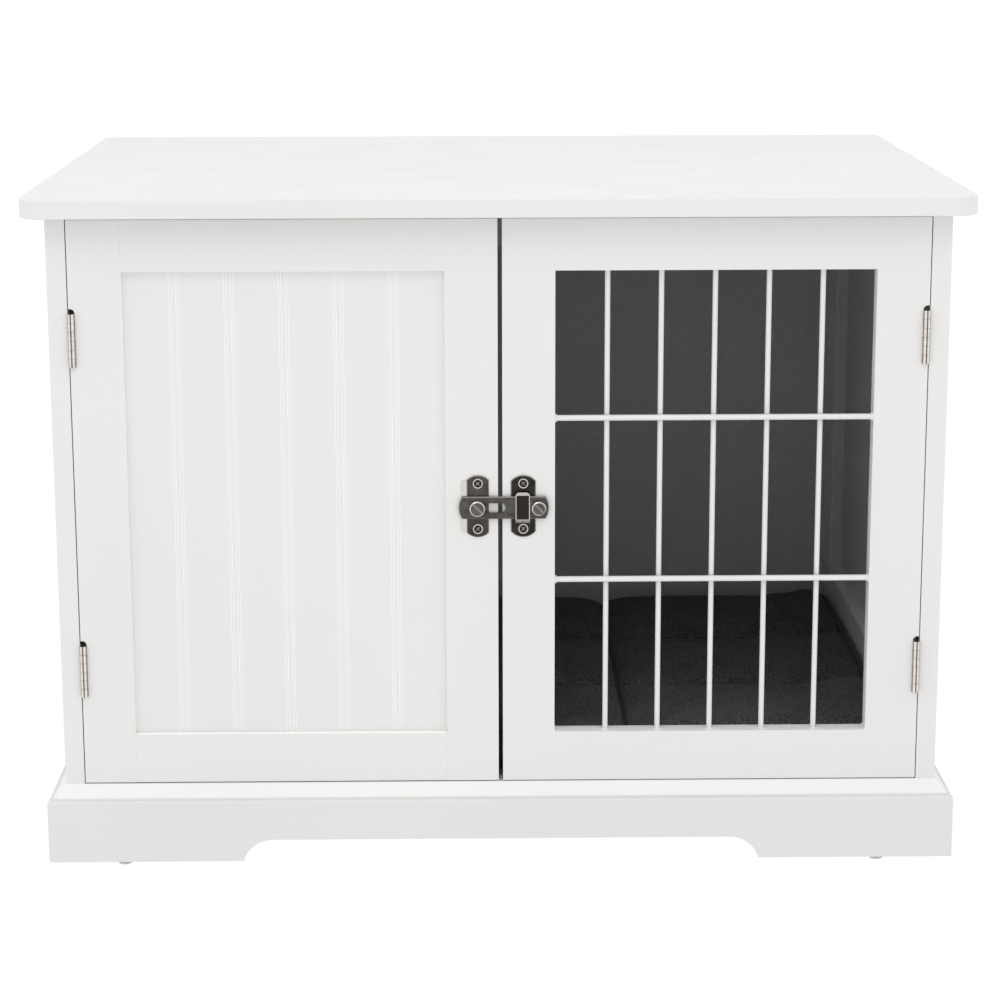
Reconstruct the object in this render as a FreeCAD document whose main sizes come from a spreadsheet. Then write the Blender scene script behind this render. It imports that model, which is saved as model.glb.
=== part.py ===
import FreeCAD, Part
import math
import os
import Sketcher

# A furniture-style pet hutch, in millimetres. X runs to the right, Y runs from the doors to the back panel and
# Z runs up. The origin is the centre of the footprint, on the surface that the glides stand on.

doc = FreeCAD.newDocument("pet_hutch")
sheet = doc.addObject("Spreadsheet::Sheet", "sizes")
pieces = []

DRIVING_SIZES = [
    # the whole cabinet
    ("overall_width", 730.0),
    ("overall_depth", 540.0),
    ("overall_height", 530.0),
    ("board", 15.0),
    ("top_thick", 14.5),
    ("overhang", 18.8),
    ("back_overhang", 9.0),
    ("top_corner", 22.0),
    ("top_back_corner", 6.0),
    ("top_ease", 0.8),
    ("back_thick", 6.0),
    # the plinth and the floor panel
    ("glide_reach", 3.0),
    ("glide_radius", 6.5),
    ("glide_chamfer", 1.5),
    ("glide_offset", 300.0),
    ("nail_radius", 1.0),
    ("nail_reach", 12.0),
    ("plinth_height", 50.2),
    ("plinth_width", 719.0),
    ("plinth_step", 14.0),
    ("plinth_arris", 2.1),
    ("cutout_flat", 180.0),
    ("cutout_half", 205.0),
    ("cutout_rise", 17.6),
    ("cutout_radius", 24.0),
    ("corner_block", 40.0),
    ("base_thick", 10.5),
    ("base_slope", 9.2),
    # inner battens and rails
    ("batten_thick", 10.0),
    ("batten_wide", 57.0),
    ("batten_setback", 20.5),
    ("rail_height", 25.0),
    ("stop_gap", 0.5),
    # doors
    ("side_gap", 0.8),
    ("centre_gap", 3.5),
    ("sill_gap", 1.0),
    ("head_gap", 2.5),
    ("stile_width", 40.8),
    ("rail_width", 40.0),
    ("panel_thick", 6.0),
    ("panel_setback", 5.0),
    ("panel_tongue", 6.0),
    ("plank_pitch", 42.1),
    ("groove_radius", 1.6),
    ("groove_depth", 0.5),
    ("groove_pitch", 5.3),
    ("corner_fillet", 2.4),
    # wire grille
    ("wire_pitch", 41.5),
    ("wire_radius", 2.12),
    ("wire_setback", 8.4),
    ("crossbar_radius", 2.3),
    ("crossbar_setback", 3.9),
    ("crossbar_upper", 357.5),
    ("crossbar_lower", 228.6),
    ("wire_socket", 8.0),
    ("flare_radius", 3.9),
    ("flare_length", 2.3),
    # hinges
    ("hinge_upper", 420.5),
    ("hinge_lower", 157.0),
    ("hinge_length", 41.5),
    ("hinge_setback", 2.75),
    ("hinge_proud", 1.3),
    ("knuckle_radius", 2.75),
    ("knuckle_gap", 0.2),
    ("leaf_thick", 1.0),
    ("leaf_width", 14.0),
    ("leaf_relief", 3.2),
    ("pin_radius", 1.25),
    ("bore_clearance", 0.05),
    ("mortise_head", 3.6),
    ("mortise_foot", 0.5),
    ("mortise_round", 3.4),
    # screws, whose cross recesses are measured in parts of the head
    ("recess_long", 1.2),
    ("recess_wide", 0.28),
    ("recess_deep", 0.6),
    ("hinge_screw_pitch", 24.0),
    ("hinge_screw_depth", 8.5),
    ("hinge_screw_head", 2.4),
    ("hinge_screw_shank", 1.3),
    ("hinge_screw_length", 12.0),
    ("latch_screw_head", 4.0),
    ("latch_screw_shank", 1.4),
    ("latch_screw_length", 12.0),
    ("case_screw_head", 4.0),
    ("case_screw_sink", 2.5),
    ("case_screw_shank", 2.0),
    ("case_screw_length", 35.0),
    ("case_screw_inset", 60.0),
    ("rail_screw_pitch", 200.0),
    # latch
    ("latch_height", 287.8),
    ("plate_thick", 1.2),
    ("plate_low", 263.9),
    ("plate_tall", 49.4),
    ("latch_plate_left", -26.1),
    ("latch_plate_wide", 17.2),
    ("latch_plate_end", 11.8),
    ("latch_plate_bow", 3.7),
    ("wing_wide", 4.0),
    ("wing_inset", 4.5),
    ("wing_thick", 0.8),
    ("stud_across", -18.0),
    ("stud_shank", 3.6),
    ("stud_head", 6.0),
    ("stud_tail", 2.0),
    ("stud_reach", 8.0),
    ("latch_gap", 0.3),
    ("knob_height", 4.5),
    ("knob_rim", 0.8),
    ("knob_across", 30.0),
    ("knob_head", 5.5),
    ("knob_tail", 1.5),
    ("bar_left", -32.4),
    ("bar_long", 70.2),
    ("bar_tall", 17.8),
    ("bar_thick", 2.0),
    ("bar_end", 16.0),
    ("bar_bow", 2.7),
    ("slot_half", 3.75),
    ("slot_run", 18.35),
    ("keeper_left", 8.2),
    ("keeper_wide", 19.4),
    ("keeper_end", 12.4),
    ("keeper_bow", 4.7),
    ("strap_left", 11.8),
    ("strap_wide", 11.2),
    ("strap_low", 275.4),
    ("strap_rest", 278.7),
    ("strap_tall", 24.8),
    ("strap_gap", 2.7),
    ("strap_thick", 1.2),
    ("strap_corner", 3.0),
    ("strap_lip", 2.3),
    ("strap_heel", 3.0),
    ("metal_ease", 0.6),
    ("latch_screw_inset", 6.6),
    # cushion
    ("cushion_wide", 640.0),
    ("cushion_deep", 437.0),
    ("cushion_tall", 44.0),
    ("cushion_front", -225.0),
    ("cushion_round", 14.0),
]
for row, (alias, value) in enumerate(DRIVING_SIZES, start=1):
    sheet.set(f"A{row}", str(value))
    sheet.setAlias(f"A{row}", alias)
doc.recompute()

# Places that several pieces share, as expressions on the driving sizes.
CASE_OUT = "(sizes.overall_width / 2 - sizes.overhang)"
CASE_IN = f"({CASE_OUT} - sizes.board)"
FACE = "(sizes.overhang - sizes.overall_depth / 2)"
CASE_BACK = "(sizes.overall_depth / 2 - sizes.back_overhang)"
BACK_IN = f"({CASE_BACK} - sizes.back_thick)"
PLINTH_OUT = "(sizes.plinth_width / 2)"
PLINTH_FACE = f"({FACE} - sizes.plinth_step)"
PLINTH_TOP = "(sizes.glide_reach + sizes.plinth_height)"
BASE_TOP = f"({PLINTH_TOP} + sizes.base_thick)"
TOP_UNDER = "(sizes.overall_height - sizes.top_thick)"
DOOR_OUT = f"({CASE_IN} - sizes.side_gap)"
DOOR_IN = "(sizes.centre_gap / 2)"
DOOR_LOW = f"({BASE_TOP} + sizes.sill_gap)"
DOOR_HIGH = f"({TOP_UNDER} - sizes.head_gap)"
DOOR_BACK = f"({FACE} + sizes.board)"
OPEN_OUT = f"({DOOR_OUT} - sizes.stile_width)"
OPEN_IN = f"({DOOR_IN} + sizes.stile_width)"
OPEN_LOW = f"({DOOR_LOW} + sizes.rail_width)"
OPEN_HIGH = f"({DOOR_HIGH} - sizes.rail_width)"
OPEN_MIDDLE = f"(({OPEN_IN} + {OPEN_OUT}) / 2)"
HINGE_X = f"({CASE_IN} - sizes.hinge_setback)"
HINGE_Y = f"({FACE} - sizes.hinge_proud)"
PLATE_FACE = f"({FACE} - sizes.plate_thick)"
BAR_BACK = f"({PLATE_FACE} - sizes.latch_gap)"
BAR_FACE = f"({BAR_BACK} - sizes.bar_thick)"
ORIGIN = ("0", "0", "0")

# A turn that takes local +Z to the direction named.
TURNS = {
    "+Z": FreeCAD.Rotation(),
    "-Z": FreeCAD.Rotation(FreeCAD.Vector(1, 0, 0), 180),
    "+X": FreeCAD.Rotation(FreeCAD.Vector(0, 1, 0), 90),
    "-X": FreeCAD.Rotation(FreeCAD.Vector(0, 1, 0), -90),
    "-Y": FreeCAD.Rotation(FreeCAD.Vector(1, 0, 0), 90),
}


def value(text):
    """The number that an expression on the sheet gives."""
    return float(sheet.evalExpression(text))


def locate(item, place, origin=ORIGIN, turn=None):
    """Put an item at a place, counted from a piece's own origin."""
    if turn is not None:
        item.Placement = FreeCAD.Placement(FreeCAD.Vector(), turn)
    for letter, here, start in zip("xyz", place, origin):
        item.setExpression(f"Placement.Base.{letter}", f"({here}) - ({start})")
    return item


def finish(item, label, origin, turn=None):
    """Name a finished piece, stand it in its place and keep it for export."""
    locate(item, origin, turn=turn)
    item.Label = label
    pieces.append(item)
    return item


def block(name, length, width, height):
    item = doc.addObject("Part::Box", name)
    item.setExpression("Length", length)
    item.setExpression("Width", width)
    item.setExpression("Height", height)
    return item


def rod(name, radius, height):
    item = doc.addObject("Part::Cylinder", name)
    item.setExpression("Radius", radius)
    item.setExpression("Height", height)
    return item


def cone(name, low_radius, high_radius, height):
    item = doc.addObject("Part::Cone", name)
    item.setExpression("Radius1", low_radius)
    item.setExpression("Radius2", high_radius)
    item.setExpression("Height", height)
    return item


def join(name, items):
    if len(items) == 1:
        return items[0]
    item = doc.addObject("Part::MultiFuse", name)
    item.Shapes = items
    return item


def group(name, items):
    item = doc.addObject("Part::Compound", name)
    item.Links = items
    return item


def cut(name, base, tools):
    if not tools:
        return base
    item = doc.addObject("Part::Cut", name)
    item.Base = base
    item.Tool = join(f"{name}_tools", tools)
    return item


def low_x(side, near, far):
    """The lower X of a span that lies from near to far on the left, -1, or the right, 1."""
    return near if side > 0 else f"-({far})"


def word(side):
    return "right" if side > 0 else "left"


def new_sketch(body, plane_role, name):
    sketch = body.newObject("Sketcher::SketchObject", name)
    plane = [item for item in body.Origin.OriginFeatures if item.Role == plane_role][0]
    sketch.AttachmentSupport = [(plane, "")]
    sketch.MapMode = "FlatFace"
    return sketch


def arc_centre(start, end, radius):
    """The centre of the shorter anticlockwise arc from start to end."""
    middle = (start + end) * 0.5
    chord = end - start
    height = math.sqrt(max(radius**2 - (chord.Length / 2) ** 2, 0.0))
    left = FreeCAD.Vector(-chord.y, chord.x, 0).normalize()
    return middle + left * height


def outline(sketch, corners):
    """Draw a closed outline. Each corner is (x, y) or (x, y, radius): a radius bends the edge that leaves the
    corner, anticlockwise, and a radius with a leading minus bends it clockwise."""
    points = [FreeCAD.Vector(value(corner[0]), value(corner[1]), 0) for corner in corners]
    starts = []
    ends = []
    for number, corner in enumerate(corners):
        start = points[number]
        end = points[(number + 1) % len(points)]
        if len(corner) == 2:
            sketch.addGeometry(Part.LineSegment(start, end), False)
            starts.append((number, 1))
            ends.append((number, 2))
            continue
        clockwise = corner[2].startswith("-")
        radius = corner[2].lstrip("-")
        first, last = (end, start) if clockwise else (start, end)
        centre = arc_centre(first, last, value(radius))
        circle = Part.Circle(centre, FreeCAD.Vector(0, 0, 1), value(radius))
        low = math.atan2(first.y - centre.y, first.x - centre.x)
        high = math.atan2(last.y - centre.y, last.x - centre.x)
        if high < low:
            high += 2 * math.pi
        sketch.addGeometry(Part.ArcOfCircle(circle, low, high), False)
        starts.append((number, 2 if clockwise else 1))
        ends.append((number, 1 if clockwise else 2))
        index = sketch.addConstraint(Sketcher.Constraint("Radius", number, value(radius)))
        sketch.setExpression(f"Constraints[{index}]", radius)
    for number, end in enumerate(ends):
        start = starts[(number + 1) % len(starts)]
        sketch.addConstraint(Sketcher.Constraint("Coincident", end[0], end[1], start[0], start[1]))
    for number, corner in enumerate(corners):
        where = starts[number]
        if points[number].Length == 0:
            sketch.addConstraint(Sketcher.Constraint("Coincident", where[0], where[1], -1, 1))
            continue
        for kind, text, here in (
            ("DistanceX", corner[0], points[number].x),
            ("DistanceY", corner[1], points[number].y),
        ):
            index = sketch.addConstraint(Sketcher.Constraint(kind, -1, 1, where[0], where[1], here))
            sketch.setExpression(f"Constraints[{index}]", text)


def pad(name, plane_role, corners, length):
    """A body padded from one outline."""
    body = doc.addObject("PartDesign::Body", name)
    sketch = new_sketch(body, plane_role, f"{name}_outline")
    outline(sketch, corners)
    feature = body.newObject("PartDesign::Pad", f"{name}_pad")
    feature.Profile = sketch
    feature.setExpression("Length", length)
    doc.recompute()
    return body


def pocket(body, name, plane_role, corners, reverse):
    """Cut an outline right through a body, and make sure that it removed material."""
    before = body.Shape.Volume
    sketch = new_sketch(body, plane_role, f"{name}_outline")
    outline(sketch, corners)
    feature = body.newObject("PartDesign::Pocket", name)
    feature.Profile = sketch
    feature.Type = "ThroughAll"
    feature.Reversed = reverse
    doc.recompute()
    if body.Shape.Volume > before - 1.0:
        raise RuntimeError(f"{name} removed nothing")


def ease(body, kind, size, wanted):
    """Fillet or chamfer the edges of a body that a test picks out."""
    tip = body.Tip
    names = [f"Edge{n}" for n, edge in enumerate(tip.Shape.Edges, start=1) if wanted(edge)]
    feature = body.newObject(f"PartDesign::{kind}", f"{body.Name}_{kind.lower()}")
    feature.Base = (tip, names)
    feature.setExpression("Radius" if kind == "Fillet" else "Size", size)
    doc.recompute()
    return feature


def rectangle(length, width):
    return [("0", "0"), (length, "0"), (length, width), ("0", width)]


# ---------------------------------------------------------------- screws


def screw_stock(name, head, sink, shank, length):
    """A countersunk screw's envelope. Its head's top is at the local origin and it runs along local -Z."""
    sunk = cone(f"{name}_head", shank, head, sink)
    sunk.setExpression("Placement.Base.z", f"-{sink}")
    stem = rod(f"{name}_shank", shank, f"{length} - {sink}")
    stem.setExpression("Placement.Base.z", f"-{length}")
    return join(name, [sunk, stem])


def screw(name, head, sink, shank, length):
    """The screw itself, with a cross recess in its head."""
    arms = []
    for turned in (False, True):
        sides = ["sizes.recess_long", "sizes.recess_wide"]
        wide, deep = reversed(sides) if turned else sides
        arm = block(f"{name}_arm{int(turned)}", f"{head} * {wide}", f"{head} * {deep}", f"{sink} * sizes.recess_deep")
        corner = (f"-{head} * {wide} / 2", f"-{head} * {deep} / 2", f"-{sink} * sizes.recess_deep")
        arms.append(locate(arm, corner))
    return cut(name, screw_stock(f"{name}_stock", head, sink, shank, length), arms)


HINGE_SCREW = ("sizes.hinge_screw_head", "sizes.leaf_thick", "sizes.hinge_screw_shank", "sizes.hinge_screw_length")
LATCH_SCREW = ("sizes.latch_screw_head", "sizes.plate_thick", "sizes.latch_screw_shank", "sizes.latch_screw_length")
CASE_SCREW = ("sizes.case_screw_head", "sizes.case_screw_sink", "sizes.case_screw_shank", "sizes.case_screw_length")
HINGES = (("upper", "sizes.hinge_upper"), ("lower", "sizes.hinge_lower"))


def hinge_screw_places(side, on_frame, centre):
    """Where the two screws of a hinge leaf have their heads, and which way the heads face."""
    reach = "(sizes.hinge_setback - sizes.leaf_thick)"
    outward = side if on_frame else -side
    across = f"{side} * {HINGE_X} + {outward} * {reach}"
    faces = "+X" if outward < 0 else "-X"
    depth = f"{HINGE_Y} + sizes.hinge_screw_depth"
    return [
        ((across, depth, f"{centre} + {sign} * sizes.hinge_screw_pitch / 2"), faces)
        for sign in (-1, 1)
    ]


def latch_screw_places(left, wide):
    """Where the two screws of a latch or keeper plate have their heads, and which way the heads face."""
    across = f"{left} + {wide} / 2"
    heights = (
        "sizes.plate_low + sizes.latch_screw_inset",
        "sizes.plate_low + sizes.plate_tall - sizes.latch_screw_inset",
    )
    return [((across, PLATE_FACE, height), "-Y") for height in heights]


LATCH_PLATE_SCREWS = latch_screw_places("sizes.latch_plate_left", "sizes.latch_plate_wide")
KEEPER_SCREWS = latch_screw_places("sizes.keeper_left", "sizes.keeper_wide")


def case_screw_places():
    """The screws that hold the side panels to the floor panel and the top rails to the top board."""
    spots = []
    for side in (-1, 1):
        for depth in (f"{FACE} + sizes.case_screw_inset", f"{CASE_BACK} - sizes.case_screw_inset"):
            spots.append(((f"{side} * ({CASE_OUT} - sizes.board / 2)", depth, PLINTH_TOP), "-Z"))
    front = f"{DOOR_BACK} + sizes.stop_gap + sizes.board / 2"
    back = f"{BACK_IN} - sizes.board / 2"
    for depth in (front, back):
        for number in (-1, 0, 1):
            spots.append(((f"{number} * sizes.rail_screw_pitch", depth, f"{TOP_UNDER} - sizes.rail_height"), "-Z"))
    return spots


def screw_holes(name, sizes, spots, origin):
    """Screw envelopes to cut from a piece that starts at origin."""
    tools = []
    for number, (place, faces) in enumerate(spots):
        tool = screw_stock(f"{name}_hole{number}", *sizes)
        tools.append(locate(tool, place, origin, TURNS[faces]))
    return tools


def screw_set(label, sizes, spots):
    """One node that holds identical screws as separate solids."""
    origin = spots[0][0]
    items = []
    for number, (place, faces) in enumerate(spots):
        item = screw(f"{label}_{number}", *sizes)
        items.append(locate(item, place, origin, TURNS[faces]))
    finish(group(label, items), label, origin)


# ---------------------------------------------------------------- cabinet


def board(label, size, origin, tools=()):
    """A plain board as a padded rectangle, with holes cut by tools."""
    body = pad(f"{label}_blank", "XY_Plane", rectangle(size[0], size[1]), size[2])
    return finish(cut(label, body, list(tools)), label, origin)


def top_board():
    """The top, with larger corners in front than behind and a fine rounding all round both faces."""
    origin = ("-sizes.overall_width / 2", "-sizes.overall_depth / 2", TOP_UNDER)
    body = pad("top_board_blank", "XY_Plane", rectangle("sizes.overall_width", "sizes.overall_depth"), "sizes.top_thick")
    height = value("sizes.top_thick")
    middle = value("sizes.overall_depth") / 2
    upright = lambda edge: abs(edge.tangentAt(edge.FirstParameter).z) > 0.99
    ease(body, "Fillet", "sizes.top_corner", lambda edge: upright(edge) and edge.BoundBox.YMax < 0.01)
    ease(body, "Fillet", "sizes.top_back_corner", lambda edge: upright(edge) and edge.BoundBox.YMin > 2 * middle - 0.01)
    flat = lambda edge: edge.BoundBox.ZLength < 0.01
    rim = lambda edge: flat(edge) and abs(edge.BoundBox.ZMin - height / 2) > height / 2 - 0.01
    ease(body, "Fillet", "sizes.top_ease", rim)
    spots = [spot for spot in case_screw_places() if spot[0][2] != PLINTH_TOP]
    tools = screw_holes("top_board", CASE_SCREW, spots, origin)
    finish(cut("top_board", body, tools), "top_board", origin)


def side_panels():
    for side in (-1, 1):
        label = f"{word(side)}_side_panel"
        origin = (low_x(side, CASE_IN, CASE_OUT), FACE, BASE_TOP)
        size = ("sizes.board", f"{CASE_BACK} - {FACE}", f"{TOP_UNDER} - {BASE_TOP}")
        tools = []
        for name, centre in HINGES:
            spots = hinge_screw_places(side, True, centre)
            tools += screw_holes(f"{label}_{name}", HINGE_SCREW, spots, origin)
        spots = [s for s in case_screw_places() if s[0][2] == PLINTH_TOP and s[0][0].startswith(f"{side} ")]
        tools += screw_holes(f"{label}_foot", CASE_SCREW, spots, origin)
        board(label, size, origin, tools)


def back_panel():
    origin = (f"-{CASE_IN}", BACK_IN, BASE_TOP)
    size = (f"2 * {CASE_IN}", "sizes.back_thick", f"{TOP_UNDER} - {BASE_TOP}")
    board("back_panel", size, origin)


def floor_panel():
    """The floor, whose front and side edges slope down and out to the plinth."""
    out = f"({CASE_OUT} + sizes.base_slope)"
    origin = (f"-{out}", f"{FACE} - sizes.base_slope", PLINTH_TOP)
    deep = f"{CASE_BACK} - {FACE} + sizes.base_slope"
    body = pad("floor_panel_blank", "XY_Plane", rectangle(f"2 * {out}", deep), "sizes.base_thick")
    top = value("sizes.base_thick")
    back = value(deep)
    rim = lambda edge: edge.BoundBox.ZMin > top - 0.01 and edge.BoundBox.YMin < back - 0.01
    ease(body, "Chamfer", "sizes.base_slope", rim)
    spots = [spot for spot in case_screw_places() if spot[0][2] == PLINTH_TOP]
    tools = screw_holes("floor_panel", CASE_SCREW, spots, origin)
    finish(cut("floor_panel", body, tools), "floor_panel", origin)


def plinth_board(label, length, mitres, origin, turn, cutout=False, nails=()):
    """A plinth board that runs along local X with its outer face at local Y 0. mitres names its mitred ends."""
    section = [
        ("0", "0"),
        ("sizes.board", "0"),
        ("sizes.board", "sizes.plinth_height"),
        ("sizes.plinth_arris", "sizes.plinth_height", "sizes.plinth_arris"),
        ("0", "sizes.plinth_height - sizes.plinth_arris"),
    ]
    body = pad(f"{label}_blank", "YZ_Plane", section, length)
    if "low" in mitres:
        corners = [("0", "0"), ("sizes.board", "sizes.board"), ("0", "sizes.board")]
        pocket(body, f"{label}_low_mitre", "XY_Plane", corners, True)
    if "high" in mitres:
        corners = [(length, "0"), (length, "sizes.board"), (f"{length} - sizes.board", "sizes.board")]
        pocket(body, f"{label}_high_mitre", "XY_Plane", corners, True)
    if cutout:
        middle = f"({length}) / 2"
        corners = [
            (f"{middle} - sizes.cutout_half", "0"),
            (f"{middle} + sizes.cutout_half", "0", "sizes.cutout_radius"),
            (f"{middle} + sizes.cutout_flat", "sizes.cutout_rise"),
            (f"{middle} - sizes.cutout_flat", "sizes.cutout_rise", "sizes.cutout_radius"),
        ]
        pocket(body, f"{label}_cutout", "XZ_Plane", corners, False)
    tools = []
    for number, place in enumerate(nails):
        tools.append(locate(rod(f"{label}_nail{number}", "sizes.nail_radius", "sizes.nail_reach"), place))
    finish(cut(label, body, tools), label, origin, turn)


def plinth():
    wide = "sizes.plinth_width"
    deep = f"({CASE_BACK} - {PLINTH_FACE})"
    low = "sizes.glide_reach"
    nails = [(f"{PLINTH_OUT} + {side} * sizes.glide_offset", "sizes.board / 2", "0") for side in (-1, 1)]
    front = (f"-{PLINTH_OUT}", PLINTH_FACE, low)
    plinth_board("plinth_front", wide, ("low", "high"), front, None, cutout=True, nails=nails)
    left_turn = FreeCAD.Rotation(FreeCAD.Vector(0, 0, 1), -90)
    plinth_board("plinth_left", deep, ("high",), (f"-{PLINTH_OUT}", CASE_BACK, low), left_turn)
    right_turn = FreeCAD.Rotation(FreeCAD.Vector(0, 0, 1), 90)
    plinth_board("plinth_right", deep, ("low",), (PLINTH_OUT, PLINTH_FACE, low), right_turn)
    label = "plinth_back"
    inner = f"({PLINTH_OUT} - sizes.board)"
    origin = (f"-{inner}", f"{CASE_BACK} - sizes.board", low)
    tools = []
    for number, side in enumerate((-1, 1)):
        nail = rod(f"{label}_nail{number}", "sizes.nail_radius", "sizes.nail_reach")
        tools.append(locate(nail, (f"{inner} + {side} * sizes.glide_offset", "sizes.board / 2", "0")))
    board(label, (f"2 * {inner}", "sizes.board", "sizes.plinth_height"), origin, tools)


def corner_blocks():
    size = "sizes.corner_block"
    inner = f"({PLINTH_OUT} - sizes.board)"
    rows = (f"{PLINTH_FACE} + sizes.board", f"{CASE_BACK} - sizes.board - {size}")
    origin = (f"-{inner}", rows[0], "sizes.glide_reach")
    items = []
    for side in (-1, 1):
        for depth in rows:
            item = block(f"corner_block_{len(items)}", size, size, "sizes.plinth_height")
            near = f"{inner} - {size}"
            items.append(locate(item, (low_x(side, near, inner), depth, "sizes.glide_reach"), origin))
    finish(group("corner_blocks", items), "corner_blocks", origin)


def floor_glides():
    """Round nail-on glides under the front and back plinth boards."""
    rows = (f"{PLINTH_FACE} + sizes.board / 2", f"{CASE_BACK} - sizes.board / 2")
    origin = ("-sizes.glide_offset", rows[0], "0")
    items = []
    for side in (-1, 1):
        for depth in rows:
            number = len(items)
            small = "sizes.glide_radius - sizes.glide_chamfer"
            foot = cone(f"glide_foot_{number}", small, "sizes.glide_radius", "sizes.glide_reach / 2")
            collar = rod(f"glide_collar_{number}", "sizes.glide_radius", "sizes.glide_reach / 2")
            collar.setExpression("Placement.Base.z", "sizes.glide_reach / 2")
            nail = rod(f"glide_nail_{number}", "sizes.nail_radius", "sizes.nail_reach")
            nail.setExpression("Placement.Base.z", "sizes.glide_reach")
            item = join(f"glide_{number}", [foot, collar, nail])
            items.append(locate(item, (f"{side} * sizes.glide_offset", depth, "0"), origin))
    finish(group("floor_glides", items), "floor_glides", origin)


def battens_and_rails():
    for side in (-1, 1):
        origin = (low_x(side, f"{CASE_IN} - sizes.batten_thick", CASE_IN), f"{FACE} + sizes.batten_setback", BASE_TOP)
        size = ("sizes.batten_thick", f"{BACK_IN} - ({FACE} + sizes.batten_setback)", "sizes.batten_wide")
        board(f"{word(side)}_side_batten", size, origin)
        foot = f"({BASE_TOP} + sizes.batten_wide)"
        origin = (origin[0], f"{BACK_IN} - sizes.batten_wide", foot)
        size = ("sizes.batten_thick", "sizes.batten_wide", f"{TOP_UNDER} - sizes.rail_height - {foot}")
        board(f"{word(side)}_corner_batten", size, origin)
    places = (
        ("top_front_rail", f"{DOOR_BACK} + sizes.stop_gap"),
        ("top_back_rail", f"{BACK_IN} - sizes.board"),
    )
    for label, depth in places:
        origin = (f"-{CASE_IN}", depth, f"{TOP_UNDER} - sizes.rail_height")
        middle = f"{depth} + sizes.board / 2"
        spots = [s for s in case_screw_places() if s[0][2] != PLINTH_TOP and abs(value(s[0][1]) - value(middle)) < 1]
        tools = screw_holes(label, CASE_SCREW, spots, origin)
        board(label, (f"2 * {CASE_IN}", "sizes.board", "sizes.rail_height"), origin, tools)
    screw_set("cabinet_screws", CASE_SCREW, case_screw_places())


def cushion():
    blank = block("cushion_blank", "sizes.cushion_wide", "sizes.cushion_deep", "sizes.cushion_tall")
    doc.recompute()
    item = doc.addObject("Part::Fillet", "cushion")
    item.Base = blank
    radius = value("sizes.cushion_round")
    item.Edges = [(n + 1, radius, radius) for n in range(len(blank.Shape.Edges))]
    finish(item, "cushion", ("-sizes.cushion_wide / 2", "sizes.cushion_front", BASE_TOP))


# ---------------------------------------------------------------- hinges


def hinge(side, name, centre):
    """A butt hinge of six knuckles, which belong to the frame leaf and the door leaf by turns."""
    label = f"{word(side)}_{name}_hinge"
    low = f"{centre} - sizes.hinge_length / 2"
    origin = (f"{side} * {HINGE_X}", HINGE_Y, low)
    pitch = "sizes.hinge_length / 6"
    inner = "(sizes.hinge_setback - sizes.leaf_thick)"
    for part, outward, mine in (("frame_leaf", side, (0, 2, 4)), ("door_leaf", -side, (1, 3, 5))):
        piece = f"{label}_{part}"
        leaf = block(f"{piece}_plate", "sizes.leaf_thick", "sizes.leaf_width", "sizes.hinge_length")
        locate(leaf, (low_x(outward, inner, "sizes.hinge_setback"), "0", "0"))
        others = [number for number in range(6) if number not in mine]
        notches = []
        for number in others:
            notch = block(f"{piece}_notch{number}", "2 * sizes.leaf_thick", "1 + sizes.leaf_relief", pitch)
            across = f"{outward} * (sizes.hinge_setback - sizes.leaf_thick / 2) - sizes.leaf_thick"
            notches.append(locate(notch, (across, "-1", f"{number} * {pitch}")))
        knuckles = [cut(f"{piece}_notched", leaf, notches)]
        for number in mine:
            knuckle = rod(f"{piece}_knuckle{number}", "sizes.knuckle_radius", f"{pitch} - sizes.knuckle_gap")
            knuckles.append(locate(knuckle, ("0", "0", f"{number} * {pitch} + sizes.knuckle_gap / 2")))
        spare = "0" if part == "frame_leaf" else "sizes.bore_clearance"
        bore = rod(f"{piece}_bore", f"sizes.pin_radius + {spare}", "sizes.hinge_length")
        spots = hinge_screw_places(side, part == "frame_leaf", centre)
        holes = screw_holes(piece, HINGE_SCREW, spots, origin)
        finish(cut(piece, join(f"{piece}_solid", knuckles), [bore] + holes), piece, origin)
    pin = rod(f"{label}_pin", "sizes.pin_radius", "sizes.hinge_length - sizes.knuckle_gap")
    finish(pin, f"{label}_pin", (origin[0], origin[1], f"{low} + sizes.knuckle_gap / 2"))


def hinges():
    frame_spots = []
    for side in (-1, 1):
        door_spots = []
        for name, centre in HINGES:
            hinge(side, name, centre)
            frame_spots += hinge_screw_places(side, True, centre)
            door_spots += hinge_screw_places(side, False, centre)
        screw_set(f"{word(side)}_door_hinge_screws", HINGE_SCREW, door_spots)
    screw_set("frame_hinge_screws", HINGE_SCREW, frame_spots)


# ---------------------------------------------------------------- doors


def mortise(label, side, centre, origin):
    """What is cut for one hinge: a slot with a round inner corner above the barrel and a square foot below it."""
    floor = f"({HINGE_X} - sizes.hinge_setback)"
    across = f"({DOOR_OUT} - {floor} + 1)"
    low = f"({centre} - sizes.hinge_length / 2 - sizes.mortise_foot)"
    round_low = f"({centre} + sizes.hinge_length / 2 + sizes.mortise_head - sizes.mortise_round)"
    through = "sizes.board + 2"
    front = f"{FACE} - 1"
    core = block(f"{label}_core", across, through, f"{round_low} - {low}")
    locate(core, (low_x(side, floor, f"{DOOR_OUT} + 1"), front, low), origin)
    end = rod(f"{label}_round", "sizes.mortise_round", through)
    locate(end, (f"{side} * ({floor} + sizes.mortise_round)", f"{DOOR_BACK} + 1", round_low), origin, TURNS["-Y"])
    head = block(f"{label}_head", f"{across} - sizes.mortise_round", through, "sizes.mortise_round")
    near = low_x(side, f"{floor} + sizes.mortise_round", f"{DOOR_OUT} + 1")
    locate(head, (near, front, round_low), origin)
    return [core, end, head]


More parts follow.
